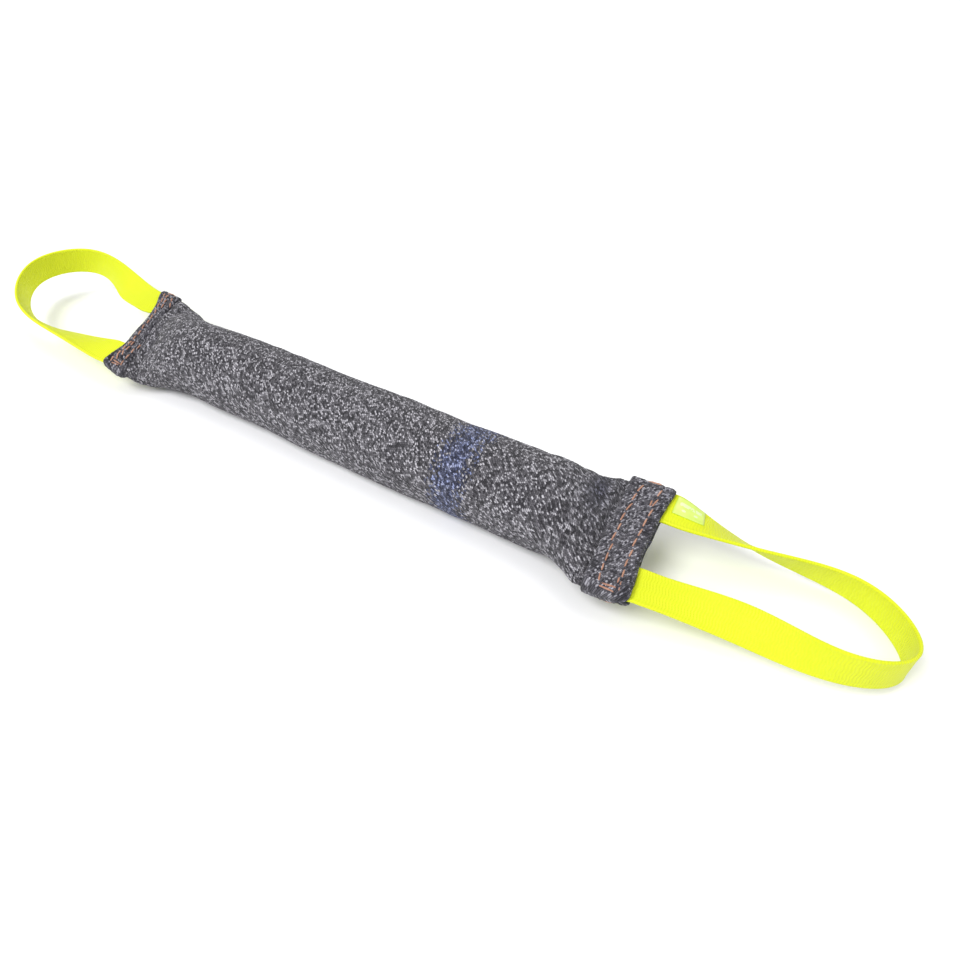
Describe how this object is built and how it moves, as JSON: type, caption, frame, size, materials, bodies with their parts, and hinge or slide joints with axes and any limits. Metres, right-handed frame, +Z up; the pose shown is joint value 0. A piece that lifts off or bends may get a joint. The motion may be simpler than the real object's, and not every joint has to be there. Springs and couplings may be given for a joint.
{
  "type": "training bumper",
  "caption": "Stuffed cloth sleeve, sewn flat at both ends, with a webbing hand loop at each end, for retrieve and tug training.",
  "frame": {"origin": "middle of the flattened underside that the sleeve rests on", "axes": "+X along the sleeve to the end with the wide cuff, +Y across it, +Z up"},
  "size_m": [0.497, 0.0693, 0.0372],
  "materials": {
    "sleeve_cloth": "woven, mottled charcoal and light grey",
    "hem_cloth": "woven, dark navy and light grey",
    "stuffing": "compressed cut cloth",
    "webbing": "woven polyester webbing, fluorescent yellow",
    "thread": "twisted polyester thread, copper",
    "label": "thin printed tag"
  },
  "bodies": {
    "sleeve": {"outer_sleeve": "sleeve_cloth", "stuffing_core": "stuffing", "seam_allowance": "sleeve_cloth", "lengthwise_seam_thread": "thread", "left_end_hem": "hem_cloth", "right_end_cuff": "hem_cloth", "left_handle_near_tail": "webbing", "left_handle_far_tail": "webbing", "right_handle_near_tail": "webbing", "right_handle_far_tail": "webbing", "left_outer_stitch_row": "thread", "left_inner_stitch_row": "thread", "right_outer_stitch_row": "thread", "right_inner_stitch_row": "thread", "left_near_bar_tack": "thread", "left_far_bar_tack": "thread", "right_near_bar_tack": "thread", "right_far_bar_tack": "thread"},
    "left_handle": {"left_handle_webbing": "webbing"},
    "right_handle": {"right_handle_webbing": "webbing", "size_label": "label"}
  },
  "joints": [
    {"name": "left_handle_swing", "type": "hinge", "parent": "sleeve", "child": "left_handle", "pos_m": [-0.15098, -0.00021, 0.0215], "axis": [-0.2041, 0.9602, 0.1908], "range_deg": [-70, 90]},
    {"name": "right_handle_swing", "type": "hinge", "parent": "sleeve", "child": "right_handle", "pos_m": [0.151, 0.00009, 0.0215], "axis": [0.0856, -0.9779, -0.1908], "range_deg": [-60, 90]}
  ]
}
